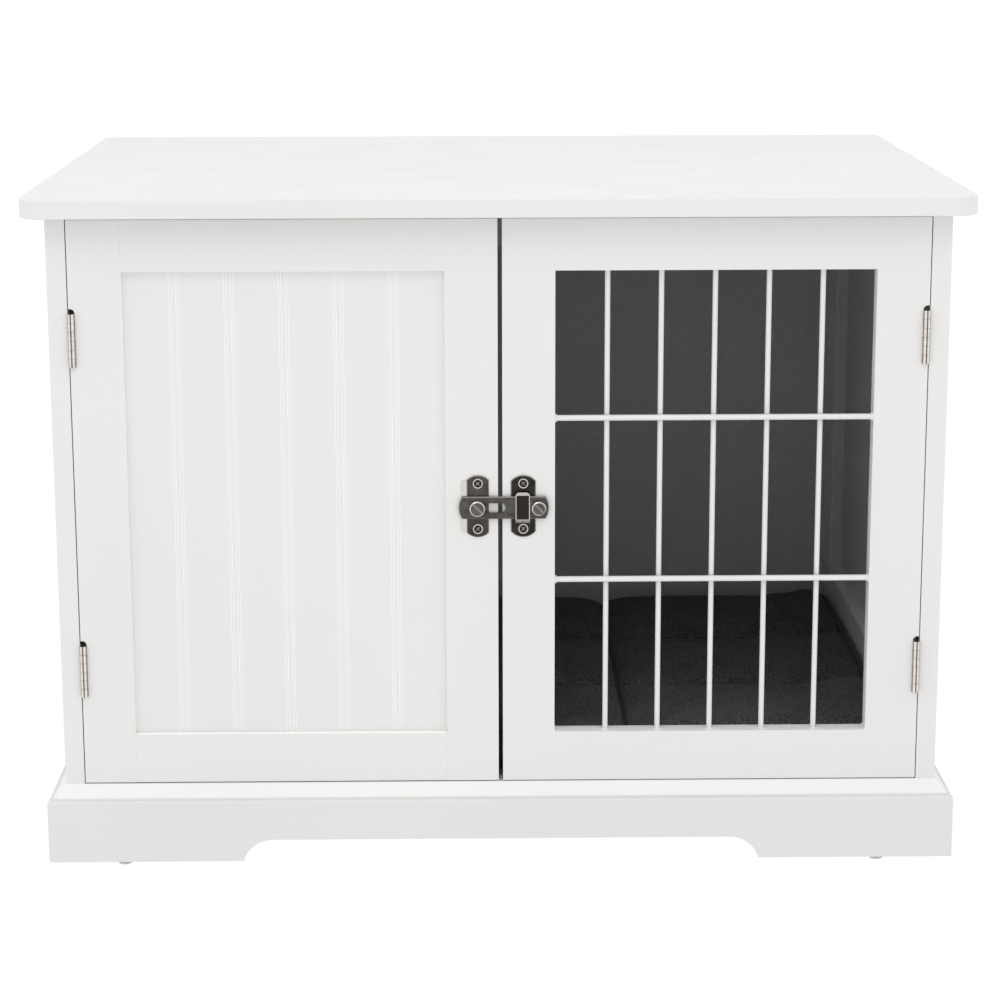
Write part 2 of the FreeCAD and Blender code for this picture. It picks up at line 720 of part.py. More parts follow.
def hinge_stile(side):
    """The stile that carries the hinges."""
    label = f"{word(side)}_door_hinge_stile"
    origin = (low_x(side, OPEN_OUT, DOOR_OUT), FACE, DOOR_LOW)
    tools = inner_edge_tools(side, label, OPEN_OUT, origin)
    for name, centre in HINGES:
        tools += mortise(f"{label}_{name}_mortise", side, centre, origin)
        tools += screw_holes(f"{label}_{name}", HINGE_SCREW, hinge_screw_places(side, False, centre), origin)
    board(label, ("sizes.stile_width", "sizes.board", f"{DOOR_HIGH} - {DOOR_LOW}"), origin, tools)


def inner_edge_tools(side, label, edge, origin):
    """What is cut in a stile's inner edge: the panel's groove on the left, the crossbars' sockets on the right."""
    if side < 0:
        deep = "sizes.panel_tongue"
        tall = f"{OPEN_HIGH} - {OPEN_LOW} + 2 * {deep}"
        groove = block(f"{label}_groove", deep, "sizes.panel_thick", tall)
        across = f"-{edge}" if edge == OPEN_IN else f"-{edge} - {deep}"
        return [locate(groove, (across, f"{FACE} + sizes.panel_setback", f"{OPEN_LOW} - {deep}"), origin)]
    tools = []
    for name in ("crossbar_upper", "crossbar_lower"):
        socket = rod(f"{label}_{name}_socket", "sizes.crossbar_radius", "sizes.wire_socket")
        across = f"{edge} - sizes.wire_socket" if edge == OPEN_IN else edge
        place = (across, f"{FACE} + sizes.crossbar_setback", f"sizes.{name}")
        tools.append(locate(socket, place, origin, TURNS["+X"]))
    return tools


def lock_stile(side):
    """The stile that carries the latch or the keeper."""
    label = f"{word(side)}_door_lock_stile"
    origin = (low_x(side, DOOR_IN, OPEN_IN), FACE, DOOR_LOW)
    spots = LATCH_PLATE_SCREWS if side < 0 else KEEPER_SCREWS
    tools = screw_holes(label, LATCH_SCREW, spots, origin)
    if side < 0:
        hole = rod(f"{label}_stud_hole", "sizes.stud_tail", "sizes.stud_reach")
        place = ("sizes.stud_across", f"{FACE} + sizes.stud_reach", "sizes.latch_height")
        tools.append(locate(hole, place, origin, TURNS["-Y"]))
    tools += inner_edge_tools(side, label, OPEN_IN, origin)
    board(label, ("sizes.stile_width", "sizes.board", f"{DOOR_HIGH} - {DOOR_LOW}"), origin, tools)


def wire_across(number):
    """The X of a grille wire, counted from 1 at the centre of the cabinet to 5 at the hinges."""
    return f"{OPEN_MIDDLE} + {number - 3} * sizes.wire_pitch"


def filleted_rail():
    """The grille door's bottom rail, with the paint fillets at the opening's lower corners."""
    long = f"{OPEN_OUT} - {OPEN_IN}"
    small = "sizes.corner_fillet"
    bend = f"-{small}"
    high = "sizes.rail_width"
    crest = f"{high} + {small}"
    return [("0", "0"), (long, "0"), (long, crest, bend), (f"{long} - {small}", high), (small, high, bend), ("0", crest)]


def panel_rail(name, low, edge):
    """A rail of the left door, with the groove that holds the panel's tongue."""
    label = f"left_door_{name}_rail"
    long = f"{OPEN_OUT} - {OPEN_IN}"
    origin = (f"-{OPEN_OUT}", FACE, low)
    groove = block(f"{label}_groove", long, "sizes.panel_thick", "sizes.panel_tongue")
    start = f"{edge} - sizes.panel_tongue" if name == "bottom" else edge
    locate(groove, (origin[0], f"{FACE} + sizes.panel_setback", start), origin)
    board(label, (long, "sizes.board", "sizes.rail_width"), origin, [groove])


def grille_rail(name, low, edge):
    """A rail of the right door, with the sockets of the wires."""
    label = f"right_door_{name}_rail"
    origin = (OPEN_IN, DOOR_BACK, low)
    plain = rectangle(f"{OPEN_OUT} - {OPEN_IN}", "sizes.rail_width")
    body = pad(f"{label}_blank", "XZ_Plane", filleted_rail() if name == "bottom" else plain, "sizes.board")
    start = f"{edge} - sizes.wire_socket" if name == "bottom" else edge
    tools = []
    for number in range(1, 6):
        socket = rod(f"{label}_socket{number}", "sizes.wire_radius", "sizes.wire_socket")
        tools.append(locate(socket, (wire_across(number), f"{FACE} + sizes.wire_setback", start), origin))
    finish(cut(label, body, tools), label, origin)


def door_rails():
    for name, low, edge in (("bottom", DOOR_LOW, OPEN_LOW), ("top", OPEN_HIGH, OPEN_HIGH)):
        panel_rail(name, low, edge)
        grille_rail(name, low, edge)


def beadboard():
    """The left door's panel, with a pair of fine grooves between each two planks."""
    tongue = "sizes.panel_tongue"
    origin = (f"-{OPEN_OUT} - {tongue}", f"{FACE} + sizes.panel_setback", f"{OPEN_LOW} - {tongue}")
    tall = f"{OPEN_HIGH} - {OPEN_LOW} + 2 * {tongue}"
    depth = f"{origin[1]} - sizes.groove_radius + sizes.groove_depth"
    grooves = []
    for number in range(-2, 3):
        for sign in (-1, 1):
            across = f"-{OPEN_MIDDLE} + {number} * sizes.plank_pitch + {sign} * sizes.groove_pitch / 2"
            groove = rod(f"bead_groove_{len(grooves)}", "sizes.groove_radius", tall)
            grooves.append(locate(groove, (across, depth, origin[2]), origin))
    board("left_door_beadboard", (f"{OPEN_OUT} - {OPEN_IN} + 2 * {tongue}", "sizes.panel_thick", tall), origin, grooves)


def grille():
    """Upright wires, and two crossbars in front of them that flare where they meet the stiles."""
    for number in range(1, 6):
        label = f"grille_wire_{number}"
        item = rod(label, "sizes.wire_radius", f"{OPEN_HIGH} - {OPEN_LOW} + 2 * sizes.wire_socket")
        place = (wire_across(number), f"{FACE} + sizes.wire_setback", f"{OPEN_LOW} - sizes.wire_socket")
        finish(item, label, place)
    clear = f"({OPEN_OUT} - {OPEN_IN})"
    for name in ("upper", "lower"):
        label = f"grille_crossbar_{name}"
        core = rod(f"{label}_core", "sizes.crossbar_radius", f"{clear} + 2 * sizes.wire_socket")
        near = cone(f"{label}_near_flare", "sizes.flare_radius", "sizes.crossbar_radius", "sizes.flare_length")
        near.setExpression("Placement.Base.z", "sizes.wire_socket")
        far = cone(f"{label}_far_flare", "sizes.crossbar_radius", "sizes.flare_radius", "sizes.flare_length")
        far.setExpression("Placement.Base.z", f"sizes.wire_socket + {clear} - sizes.flare_length")
        item = join(f"{label}_bar", [core, near, far])
        place = (f"{OPEN_IN} - sizes.wire_socket", f"{FACE} + sizes.crossbar_setback", f"sizes.crossbar_{name}")
        finish(item, label, place, TURNS["+X"])


# ---------------------------------------------------------------- latch


def bowed(wide, tall, end_radius, bow):
    """A rectangle whose lower and upper ends bow outwards."""
    return [
        ("0", bow, end_radius),
        (wide, bow),
        (wide, f"{tall} - {bow}", end_radius),
        ("0", f"{tall} - {bow}"),
    ]


def ease_front(body):
    """A fine chamfer round a flat metal piece's front face."""
    front = body.Shape.BoundBox.YMin
    ease(body, "Chamfer", "sizes.metal_ease", lambda edge: edge.BoundBox.YMax < front + 0.01)


def latch_plate():
    origin = ("sizes.latch_plate_left", FACE, "sizes.plate_low")
    corners = bowed("sizes.latch_plate_wide", "sizes.plate_tall", "sizes.latch_plate_end", "sizes.latch_plate_bow")
    body = pad("latch_plate_body", "XZ_Plane", corners, "sizes.plate_thick")
    ease_front(body)
    wing = block("latch_plate_wing", "sizes.wing_wide", "sizes.wing_thick", "sizes.plate_tall - 2 * sizes.wing_inset")
    locate(wing, ("-sizes.wing_wide", "-sizes.wing_thick", "sizes.wing_inset"))
    hole = rod("latch_plate_stud_hole", "sizes.stud_tail", "sizes.plate_thick + 2")
    locate(hole, ("sizes.stud_across", f"{FACE} + 1", "sizes.latch_height"), origin, TURNS["-Y"])
    tools = [hole] + screw_holes("latch_plate", LATCH_SCREW, LATCH_PLATE_SCREWS, origin)
    finish(cut("latch_plate", join("latch_plate_solid", [body, wing]), tools), "latch_plate", origin)
    screw_set("latch_plate_screws", LATCH_SCREW, LATCH_PLATE_SCREWS)


def turned_head(name, radius, height):
    """A round head along local +Z with a sloped rim."""
    low = rod(f"{name}_drum", radius, f"{height} - sizes.knob_rim")
    high = cone(f"{name}_rim", radius, f"{radius} - sizes.knob_rim", "sizes.knob_rim")
    high.setExpression("Placement.Base.z", f"{height} - sizes.knob_rim")
    return [low, high]


def latch_stud():
    tail = rod("latch_stud_tail", "sizes.stud_tail", "sizes.stud_reach + sizes.plate_thick")
    tail.setExpression("Placement.Base.z", "-sizes.stud_reach - sizes.plate_thick")
    neck = rod("latch_stud_neck", "sizes.stud_shank", "sizes.bar_thick + 2 * sizes.latch_gap")
    head = join("latch_stud_head", turned_head("latch_stud_head", "sizes.stud_head", "sizes.knob_height"))
    head.setExpression("Placement.Base.z", "sizes.bar_thick + 2 * sizes.latch_gap")
    item = join("latch_stud_solid", [tail, neck, head])
    finish(item, "latch_stud", ("sizes.stud_across", PLATE_FACE, "sizes.latch_height"), TURNS["-Y"])


def latch_bar():
    origin = ("sizes.bar_left", BAR_BACK, "sizes.latch_height - sizes.bar_tall / 2")
    corners = [
        ("sizes.bar_bow", "0"),
        ("sizes.bar_long - sizes.bar_bow", "0", "sizes.bar_end"),
        ("sizes.bar_long - sizes.bar_bow", "sizes.bar_tall"),
        ("sizes.bar_bow", "sizes.bar_tall", "sizes.bar_end"),
    ]
    body = pad("latch_bar_body", "XZ_Plane", corners, "sizes.bar_thick")
    ease_front(body)
    start = "(sizes.stud_across - sizes.bar_left)"
    middle = "sizes.bar_tall / 2"
    ends = (start, f"{start} + sizes.slot_run")
    slot = [
        (ends[0], f"{middle} - sizes.slot_half"),
        (ends[1], f"{middle} - sizes.slot_half", "sizes.slot_half"),
        (f"{ends[1]} + sizes.slot_half", middle, "sizes.slot_half"),
        (ends[1], f"{middle} + sizes.slot_half"),
        (ends[0], f"{middle} + sizes.slot_half", "sizes.slot_half"),
        (f"{ends[0]} - sizes.slot_half", middle, "sizes.slot_half"),
    ]
    pocket(body, "latch_bar_slot", "XZ_Plane", slot, True)
    hole = rod("latch_bar_knob_hole", "sizes.knob_tail", "sizes.bar_thick + 2")
    locate(hole, ("sizes.knob_across", f"{BAR_BACK} + 1", "sizes.latch_height"), origin, TURNS["-Y"])
    finish(cut("latch_bar", body, [hole]), "latch_bar", origin)


def latch_knob():
    tail = rod("latch_knob_tail", "sizes.knob_tail", "sizes.bar_thick")
    tail.setExpression("Placement.Base.z", "-sizes.bar_thick")
    head = turned_head("latch_knob_head", "sizes.knob_head", "sizes.knob_height")
    item = join("latch_knob_solid", [tail] + head)
    finish(item, "latch_knob", ("sizes.knob_across", BAR_FACE, "sizes.latch_height"), TURNS["-Y"])


def keeper():
    """The keeper plate, with an open-topped hook strap that the bar drops into."""
    origin = ("sizes.keeper_left", FACE, "sizes.plate_low")
    corners = bowed("sizes.keeper_wide", "sizes.plate_tall", "sizes.keeper_end", "sizes.keeper_bow")
    plate = pad("keeper_plate_body", "XZ_Plane", corners, "sizes.plate_thick")
    ease_front(plate)
    inner = "(sizes.plate_thick + sizes.strap_gap)"
    outer = f"({inner} + sizes.strap_thick)"
    rest = "(sizes.strap_rest - sizes.strap_low)"
    section = [
        ("-sizes.plate_thick", "0"),
        ("-sizes.plate_thick", rest),
        (f"-{inner}", rest),
        (f"-{inner}", "sizes.strap_tall"),
        (f"-{inner} - sizes.strap_thick / 3", "sizes.strap_tall"),
        (f"-{outer}", "sizes.strap_tall - sizes.strap_lip"),
        (f"-{outer}", "sizes.strap_heel"),
        (f"-{outer} + sizes.strap_heel", "0"),
    ]
    strap = pad("keeper_strap", "YZ_Plane", section, "sizes.strap_wide")
    round_front = [
        ("0", "0"),
        ("sizes.strap_wide", "0"),
        ("sizes.strap_wide", "sizes.strap_tall - sizes.strap_corner", "sizes.strap_corner"),
        ("sizes.strap_wide - sizes.strap_corner", "sizes.strap_tall"),
        ("sizes.strap_corner", "sizes.strap_tall", "sizes.strap_corner"),
        ("0", "sizes.strap_tall - sizes.strap_corner"),
    ]
    front = pad("keeper_strap_front", "XZ_Plane", round_front, f"{outer} + 1")
    shaped = doc.addObject("Part::Common", "keeper_strap_shaped")
    shaped.Base = strap
    shaped.Tool = front
    locate(shaped, ("sizes.strap_left", FACE, "sizes.strap_low"), origin)
    solid = join("keeper_plate_solid", [plate, shaped])
    tools = screw_holes("keeper_plate", LATCH_SCREW, KEEPER_SCREWS, origin)
    finish(cut("keeper_plate", solid, tools), "keeper_plate", origin)
    screw_set("keeper_screws", LATCH_SCREW, KEEPER_SCREWS)


# ---------------------------------------------------------------- assembly


def check_document():
    for item in doc.Objects:
        if "Invalid" in item.State or "Error" in item.State:
            raise RuntimeError(f"{item.Name} failed: {item.State}")
    for piece in pieces:
        shape = piece.Shape
        if shape.isNull() or not shape.isValid() or not shape.Solids:
            raise RuntimeError(f"{piece.Label} has no sound shape")


top_board()
side_panels()
back_panel()
floor_panel()
plinth()
corner_blocks()
floor_glides()
battens_and_rails()
cushion()
hinges()
for door_side in (-1, 1):
    hinge_stile(door_side)
    lock_stile(door_side)
door_rails()
beadboard()
grille()
latch_plate()
latch_stud()
latch_bar()
latch_knob()
keeper()

doc.recompute()
check_document()
os.makedirs("parts", exist_ok=True)
for piece in pieces:
    piece.Shape.exportStep(f"parts/{piece.Label}.step")
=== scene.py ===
import math

import bmesh
import bpy
from mathutils import Matrix, Vector


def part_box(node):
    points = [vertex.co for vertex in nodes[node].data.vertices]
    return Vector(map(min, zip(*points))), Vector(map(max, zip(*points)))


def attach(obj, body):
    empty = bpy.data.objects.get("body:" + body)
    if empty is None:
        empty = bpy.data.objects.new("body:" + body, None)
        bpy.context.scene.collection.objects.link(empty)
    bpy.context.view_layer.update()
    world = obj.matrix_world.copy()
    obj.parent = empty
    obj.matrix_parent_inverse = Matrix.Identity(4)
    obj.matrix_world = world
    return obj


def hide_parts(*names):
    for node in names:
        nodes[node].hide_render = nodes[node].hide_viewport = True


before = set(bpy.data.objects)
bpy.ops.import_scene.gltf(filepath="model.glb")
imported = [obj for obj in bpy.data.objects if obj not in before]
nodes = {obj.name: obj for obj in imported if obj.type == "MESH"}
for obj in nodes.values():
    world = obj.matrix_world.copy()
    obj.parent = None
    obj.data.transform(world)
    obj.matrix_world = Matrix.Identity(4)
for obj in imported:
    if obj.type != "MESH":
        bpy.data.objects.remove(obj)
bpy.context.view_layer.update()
MM = 0.001

# Planes of the cabinet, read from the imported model.
LEFT_WALL, RIGHT_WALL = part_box("left_side_panel"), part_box("right_side_panel")
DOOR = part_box("left_door_lock_stile")
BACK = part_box("back_panel")
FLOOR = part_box("floor_panel")
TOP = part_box("top_board")
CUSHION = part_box("cushion")

# The quilting of the cushion: three panels across and three deep.
SEAMS_X = (-103 * MM, 103 * MM)
SEAMS_Y = tuple(CUSHION[0].y + (CUSHION[1].y - CUSHION[0].y) * part / 3 for part in (1, 2))
# How far a seam's valley and the rounding of the edge reach, and how far the piping lies inside the edge.
SEAM_REACH, EDGE_REACH, PIPING = 16 * MM, 13 * MM, 8 * MM
# The pad's height at its edge, what its middle adds to that, and what a seam takes away.
SEAT, FULL, CREASE = 29 * MM, 4 * MM, 5 * MM
# The most that a point of the pad moves as it swells.
PUFF = 3.5 * MM
# The pad is pushed up where it meets the side battens.
LIFT, LIFT_REACH = 7 * MM, 70 * MM
# The grid of the pad's top and bottom sheets, the radius of its corners, and its room inside its CAD solid.
PAD_COLUMNS, PAD_ROWS = 106, 72
PAD_CORNER = 28 * MM
PAD_ROOM = Vector((1, 1.5, 0)) * MM
# The cloth simulation.
VOXEL, FRAMES = 6 * MM, 20
# The narrow creases pressed into the finished pad: their depth and their reach.
SEAM_PRESS, PIPING_PRESS = (3.6 * MM, 3.0 * MM), (1.6 * MM, 2.4 * MM)

# The keeper strap's left, right, foot and head, from the lower left corner of the keeper plate.
STRAP = tuple(part * MM for part in (3.6, 14.8, 11.5, 36.3))
STRAP_RIM = 0.75 * MM

# The camera: yaw, pitch and roll in degrees, and its place in metres.
CAMERA_ANGLES = (0.7714, 12.634, -0.1391)
CAMERA_PLACE = (-0.02802, -2.31525, 0.7561)
CAMERA_LENS = 97.768


# ---------------------------------------------------------------- camera


def make_camera():
    """A long lens in front of the doors, a little to the left, that looks slightly down."""
    yaw, pitch, roll = (math.radians(angle) for angle in CAMERA_ANGLES)
    level = math.cos(pitch)
    forward = Vector((math.sin(yaw) * level, math.cos(yaw) * level, -math.sin(pitch)))
    right = Vector((math.cos(yaw), -math.sin(yaw), 0))
    up = right.cross(forward)
    turned_right = math.cos(roll) * right + math.sin(roll) * up
    turned_up = math.cos(roll) * up - math.sin(roll) * right
    data = bpy.data.cameras.new("camera")
    data.sensor_width = 36
    data.lens = CAMERA_LENS
    data.clip_end = 50
    camera = bpy.data.objects.new("camera", data)
    bpy.context.scene.collection.objects.link(camera)
    axes = Matrix((turned_right, turned_up, -forward)).transposed()
    camera.matrix_world = Matrix.Translation(CAMERA_PLACE) @ axes.to_4x4()
    bpy.context.scene.camera = camera


# ---------------------------------------------------------------- node helpers


class Nodes:
    """A short way to build a material's nodes."""

    def __init__(self, name):
        self.material = bpy.data.materials.new(name)
        self.material.use_nodes = True
        self.tree = self.material.node_tree
        self.shader = self.tree.nodes["Principled BSDF"]
        self.place = self.tree.nodes.new("ShaderNodeTexCoord").outputs["Object"]

    def add(self, kind, settings=None, **inputs):
        node = self.tree.nodes.new(kind)
        for name, given in (settings or {}).items():
            setattr(node, name, given)
        for name, given in inputs.items():
            self.feed(node.inputs[name.replace("_", " ")], given)
        return node

    def feed(self, socket, given):
        if isinstance(given, bpy.types.NodeSocket):
            self.tree.links.new(given, socket)
        elif isinstance(given, bpy.types.Node):
            self.tree.links.new(given.outputs[0], socket)
        else:
            socket.default_value = given

    def math(self, operation, first, second=0.0, third=None):
        node = self.add("ShaderNodeMath", {"operation": operation})
        self.feed(node.inputs[0], first)
        self.feed(node.inputs[1], second)
        if third is not None:
            self.feed(node.inputs[2], third)
        return node.outputs[0]

    def noise(self, scale, detail=2.0, roughness=0.5, stretch=None):
        place = self.place
        if stretch is not None:
            place = self.add("ShaderNodeMapping", None, Vector=place, Scale=stretch).outputs[0]
        settings = {"Vector": place, "Scale": scale, "Detail": detail, "Roughness": roughness}
        return self.add("ShaderNodeTexNoise", None, **settings).outputs["Fac"]

    def spread(self, factor, low, high, start=0.3, end=0.7):
        """The factor between start and end, taken to the range from low to high."""
        node = self.add("ShaderNodeMapRange", {"clamp": True})
        for name, given in (
            ("Value", factor), ("From Min", start), ("From Max", end), ("To Min", low), ("To Max", high),
        ):
            self.feed(node.inputs[name], given)
        return node.outputs[0]

    def blend(self, factor, first, second):
        node = self.add("ShaderNodeMix", {"data_type": "RGBA"})
        self.feed(node.inputs[0], factor)
        self.feed(node.inputs[6], first)
        self.feed(node.inputs[7], second)
        return node.outputs[2]

    def bump(self, height, distance, strength=1.0, under=None):
        node = self.add("ShaderNodeBump", None, Height=height, Distance=distance, Strength=strength)
        if under is not None:
            self.feed(node.inputs["Normal"], under)
        return node.outputs[0]

    def parts_of_place(self):
        node = self.add("ShaderNodeSeparateXYZ", None, Vector=self.place)
        return node.outputs[0], node.outputs[1], node.outputs[2]

    def slope(self):
        """0 on faces that look straight to the front or the back, 1 on those turned well away from that."""
        normal = self.tree.nodes.new("ShaderNodeTexCoord").outputs["Normal"]
        facing = self.add("ShaderNodeSeparateXYZ", None, Vector=normal).outputs[1]
        return self.spread(self.math("ABSOLUTE", facing), 1, 0, 0.82, 0.96)

    def away(self, centre, offset=0.0):
        """The distance in X and Z from a centre, or from two centres that lie offset above and below it."""
        across, _, height = self.parts_of_place()
        x = self.math("SUBTRACT", across, centre.x)
        z = self.math("SUBTRACT", self.math("ABSOLUTE", self.math("SUBTRACT", height, centre.z)), offset)
        square = self.math("ADD", self.math("MULTIPLY", x, x), self.math("MULTIPLY", z, z))
        return self.math("SQRT", square)

    def band(self, distance, middle, half):
        """1 where a distance is within half of the middle value, falling to 0 over a short way."""
        off = self.math("ABSOLUTE", self.math("SUBTRACT", distance, middle))
        return self.spread(off, 1, 0, half * 0.6, half * 1.4)


def grey(level, warmth=0.0):
    return (level * (1 + warmth), level, level * (1 - warmth), 1)


# ---------------------------------------------------------------- materials

WHITE = (0.745, 0.741, 0.73, 1)
WHITE_SHADE = (0.728, 0.724, 0.713, 1)
# A lighter white painted on turned faces as painted light.
PAINTED_LIGHT_WHITE = (0.94, 0.937, 0.925, 1)
# The greys inside the cabin. The side walls' grey is lighter than the back's as painted light.
BACK_LINING, SIDE_LINING_PAINTED_LIGHTER = 0.44, 0.71


def inside_mask(maker):
    """1 on the faces that line the cabin, 0 elsewhere."""
    across, depth, height = maker.parts_of_place()
    margin = 0.3 * MM
    tests = (
        ("LESS_THAN", maker.math("ABSOLUTE", across), RIGHT_WALL[0].x + margin),
        ("GREATER_THAN", depth, DOOR[1].y + margin),
        ("LESS_THAN", depth, BACK[0].y + margin),
        ("GREATER_THAN", height, FLOOR[1].z - margin),
        ("LESS_THAN", height, TOP[0].z + margin),
    )
    mask = 1.0
    for operation, first, second in tests:
        mask = maker.math("MULTIPLY", maker.math(operation, first, second), mask)
    return mask


def toned(colour, tone):
    return tuple(part * tone for part in colour[:3]) + (1,)


def lacquer(name, lining=None, tone=1.0, edges=False):
    """Sprayed white satin lacquer with a faint orange peel. A lining gives its grey inside the cabin.

    Where edges is true, faces turned well away from the front, such as the edges of the doors and the walls
    of the bead grooves, take a lighter white as painted light."""
    maker = Nodes(name)
    drift = maker.noise(3.5, 3, 0.55)
    colour = maker.blend(maker.spread(drift, 0, 1), toned(WHITE, tone), toned(WHITE_SHADE, tone))
    # Painted light: turned faces are painted a lighter white.
    if edges:
        colour = maker.blend(maker.slope(), colour, PAINTED_LIGHT_WHITE)
    rough = maker.spread(maker.noise(22, 4), 0.30, 0.42)
    peel = maker.noise(620, 2)
    if lining is not None:
        mask = inside_mask(maker)
        fleck = maker.noise(260, 3, 0.6)
        board = maker.blend(maker.spread(fleck, 0, 1), grey(lining, 0.02), grey(lining * 0.88, 0.02))
        colour = maker.blend(mask, colour, board)
        rough = maker.math("ADD", rough, maker.math("MULTIPLY", mask, 0.25))
    maker.feed(maker.shader.inputs["Base Color"], colour)
    maker.feed(maker.shader.inputs["Roughness"], rough)
    maker.feed(maker.shader.inputs["Normal"], maker.bump(peel, 0.02 * MM, 0.35))
    maker.shader.inputs["Specular IOR Level"].default_value = 0.45
    return maker.material


def laminate(name, light, side=None):
    """Matt laminated board, as on the battens and the rails inside. side is a grey painted on its turned
    faces as painted light.
    """
    maker = Nodes(name)
    fleck = maker.noise(260, 3, 0.6)
    colour = maker.blend(maker.spread(fleck, 0, 1), grey(light, 0.02), grey(light * 0.86, 0.02))
    if side is not None:
        colour = maker.blend(maker.slope(), colour, grey(side, 0.02))
    maker.feed(maker.shader.inputs["Base Color"], colour)
    maker.feed(maker.shader.inputs["Roughness"], maker.spread(maker.noise(30, 3), 0.5, 0.65))
    maker.feed(maker.shader.inputs["Normal"], maker.bump(fleck, 0.03 * MM, 0.4))
    return maker.material


def wire_paint():
    """White powder coat: thicker and a little bumpier than the lacquer."""
    maker = Nodes("grille_paint")
    colour = maker.blend(maker.spread(maker.noise(9, 3), 0, 1), WHITE, WHITE_SHADE)
    maker.feed(maker.shader.inputs["Base Color"], colour)
    maker.feed(maker.shader.inputs["Roughness"], maker.spread(maker.noise(40, 3), 0.24, 0.38))
    maker.feed(maker.shader.inputs["Normal"], maker.bump(maker.noise(420, 3), 0.05 * MM, 0.5))
    return maker.material


def plated(name, base, shade, rough, streak, streak_scale, brush=0.5, bright=(), dark=()):
    """Plated steel with brush marks along one direction and a slightly uneven tone.

    bright and dark take functions that make masks: the bright ones are smoother and take a painted
    highlight, the dark ones take painted shade and painted dark reflections."""
    maker = Nodes(name)
    tone = maker.spread(maker.noise(130, 4, 0.6), 0, 1)
    marks = maker.noise(streak_scale, 3, 0.6, streak)
    tone = maker.math("MULTIPLY_ADD", maker.spread(marks, -0.5, 0.5), brush, tone)
    tone = maker.math("MINIMUM", maker.math("MAXIMUM", tone, 0.0), 1.0)
    colour = maker.blend(tone, base, shade)
    roughness = maker.spread(marks, rough[0], rough[1])
    for make_mask in dark:
        colour = maker.blend(make_mask(maker), colour, SHADOWED)
    for make_mask in bright:
        mask = make_mask(maker)
        colour = maker.blend(mask, colour, PAINTED_HIGHLIGHT)
        roughness = maker.math("MULTIPLY", roughness, maker.math("MULTIPLY_ADD", mask, -0.4, 1.0))
    maker.feed(maker.shader.inputs["Base Color"], colour)
    maker.feed(maker.shader.inputs["Roughness"], roughness)
    maker.feed(maker.shader.inputs["Normal"], maker.bump(marks, 0.01 * MM, 0.35))
    maker.shader.inputs["Metallic"].default_value = 1.0
    return maker.material


# The painted highlight colour of the bright masks, and the painted shade colour of the dark ones.
PAINTED_HIGHLIGHT = (0.66, 0.63, 0.6, 1)
SHADOWED = (0.03, 0.028, 0.026, 1)


def chamfers(maker):
    """The faces that turn away from the front: smoother, with a painted highlight."""
    return maker.slope()


def soft_chamfers(maker):
    """The same faces, a little smoother, with a weaker painted highlight."""
    return maker.math("MULTIPLY", maker.slope(), 0.32)


def lower_part(name):
    """Darker towards the plate's foot: below its middle the plate blends towards the SHADOWED colour."""
    low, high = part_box(name)

    def mask(maker):
        height = maker.parts_of_place()[2]
        return maker.spread(height, 0.55, 0, low.z, (low.z + high.z) / 2)

    return mask


def strap_area(maker, margin=0.0):
    """1 on the front of the keeper's strap, less a margin at its sides, its top and its foot."""
    across, depth, height = maker.parts_of_place()
    low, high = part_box("keeper_plate")
    left, right = low.x + STRAP[0] + margin, low.x + STRAP[1] - margin
    foot, head = low.z + STRAP[2] + 4.5 * margin, low.z + STRAP[3] - 3.2 * margin
    mask = maker.math("LESS_THAN", depth, low.y + 3.4 * MM)
    for value, start, end in ((across, left, right), (height, foot, head)):
        mask = maker.math("MULTIPLY", mask, maker.math("GREATER_THAN", value, start))
        mask = maker.math("MULTIPLY", mask, maker.math("LESS_THAN", value, end))
    return mask


def strap_face(maker):
    """The front face of the strap, painted dark as painted shade."""
    return strap_area(maker, STRAP_RIM)


def strap_rim(maker):
    """The sides, top and foot of the strap: smoother, with a painted highlight."""
    rim = maker.math("SUBTRACT", strap_area(maker), strap_area(maker, STRAP_RIM))
    turned = maker.math("MULTIPLY", maker.slope(), 0.35)
    return maker.math("MAXIMUM", maker.math("MULTIPLY", rim, 0.8), turned)


def screw_rings(name):
    """Painted highlights on the rims of the two screw heads of a plate, which are also smoother, and painted
    glints in their cross recesses.
    """
    low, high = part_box(name)
    head = (high.x - low.x) / 2
    offset = (high.z - low.z) / 2 - head
    centre = (low + high) / 2

    def mask(maker):
        away = maker.away(centre, offset)
        across, _, height = maker.parts_of_place()
        x = maker.math("ABSOLUTE", maker.math("SUBTRACT", across, centre.x))
        above = maker.math("ABSOLUTE", maker.math("SUBTRACT", height, centre.z))
        z = maker.math("ABSOLUTE", maker.math("SUBTRACT", above, offset))
        cross = maker.band(maker.math("SUBTRACT", x, z), 0.0, 0.35 * MM)
        cross = maker.math("MULTIPLY", cross, maker.math("LESS_THAN", away, head * 0.5))
        uneven = maker.spread(maker.noise(700, 2), 0.15, 0.8)
        ring = maker.band(away, head * 0.87, 0.36 * MM)
        return maker.math("MAXIMUM", ring, maker.math("MULTIPLY", cross, uneven))

    return mask


